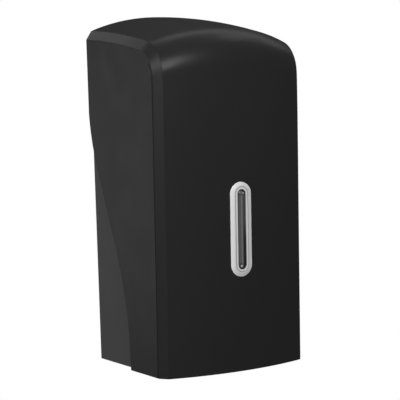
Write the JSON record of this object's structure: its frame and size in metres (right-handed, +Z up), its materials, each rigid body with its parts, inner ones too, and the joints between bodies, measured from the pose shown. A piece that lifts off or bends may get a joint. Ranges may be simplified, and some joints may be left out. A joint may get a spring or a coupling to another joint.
{
  "type": "toilet paper dispenser",
  "caption": "Lockable wall dispenser for two toilet rolls, one above the other: curved hinged cover with a pill-shaped window, sprung spindles and a drop lever.",
  "frame": {"origin": "centre of the four wall screws' pattern, on the wall plane", "axes": "+X to the right seen from the front, +Y into the wall so that the front faces -Y, +Z up"},
  "size_m": [0.1554, 0.1371, 0.32],
  "materials": {
    "cover_plastic": "fine satin",
    "inner_plastic": "matt",
    "clear_grey": "glossy, translucent",
    "spindle_plastic": "satin",
    "soft_grip": "matt",
    "plated_zinc": "polished",
    "bright_steel": "zinc plated"
  },
  "bodies": {
    "housing": {"back_housing": "cover_plastic", "left_roll_rail": "inner_plastic", "right_roll_rail": "inner_plastic", "left_hinge_pin": "bright_steel", "right_hinge_pin": "bright_steel", "latch_keeper": "bright_steel", "housing_screws": "bright_steel", "lever_spring": "bright_steel"},
    "cover": {"front_cover": "cover_plastic", "window_bezel": "clear_grey", "window_lens": "clear_grey", "window_cap": "inner_plastic", "lock_body": "plated_zinc", "lock_nut": "bright_steel"},
    "lock": {"lock_barrel": "plated_zinc", "lock_cam": "bright_steel", "cam_screw": "bright_steel"},
    "drop_lever": {"cross_shaft": "bright_steel", "left_catch_arm": "inner_plastic", "right_catch_lever": "inner_plastic", "lever_grip": "soft_grip", "shaft_clips": "bright_steel"},
    "reserve_spindle": {"reserve_spindle_sleeve": "spindle_plastic", "reserve_spindle_spring": "bright_steel"},
    "reserve_plunger": {"reserve_spindle_plunger": "spindle_plastic"},
    "lower_spindle": {"lower_spindle_sleeve": "spindle_plastic", "lower_spindle_spring": "bright_steel"},
    "lower_plunger": {"lower_spindle_plunger": "spindle_plastic"}
  },
  "joints": [
    {"name": "cover_hinge", "type": "hinge", "parent": "housing", "child": "cover", "pos_m": [0, -0.10003, -0.141], "axis": [1, 0, 0], "range_deg": [0, 90]},
    {"name": "lock_turn", "type": "hinge", "parent": "cover", "child": "lock", "pos_m": [0.0675, -0.036, 0.117], "axis": [-1, 0, 0], "range_deg": [0, 90]},
    {"name": "drop_lever", "type": "hinge", "parent": "housing", "child": "drop_lever", "pos_m": [0, -0.02, -0.025], "axis": [1, 0, 0], "range_deg": [0, 22], "stiffness_Nm_per_rad": 0.29, "springref_deg": -57.3, "deforming": ["lever_spring"]},
    {"name": "reserve_drop", "type": "slide", "parent": "housing", "child": "reserve_spindle", "axis": [0, 0, -1], "range_m": [0, 0.0116]},
    {"name": "lower_lift", "type": "slide", "parent": "housing", "child": "lower_spindle", "axis": [0, 0, 1], "range_m": [0, 0.025]},
    {"name": "reserve_plunger_press", "type": "slide", "parent": "reserve_spindle", "child": "reserve_plunger", "axis": [-1, 0, 0], "range_m": [0, 0.007], "stiffness_N_per_m": 1800, "springref_m": -0.004, "deforming": ["reserve_spindle_spring"]},
    {"name": "lower_plunger_press", "type": "slide", "parent": "lower_spindle", "child": "lower_plunger", "axis": [-1, 0, 0], "range_m": [0, 0.007], "stiffness_N_per_m": 1800, "springref_m": -0.004, "deforming": ["lower_spindle_spring"]}
  ],
  "couplings": [
    {"joint": "reserve_drop", "follows": "drop_lever", "m_per_rad": 0.03}
  ]
}
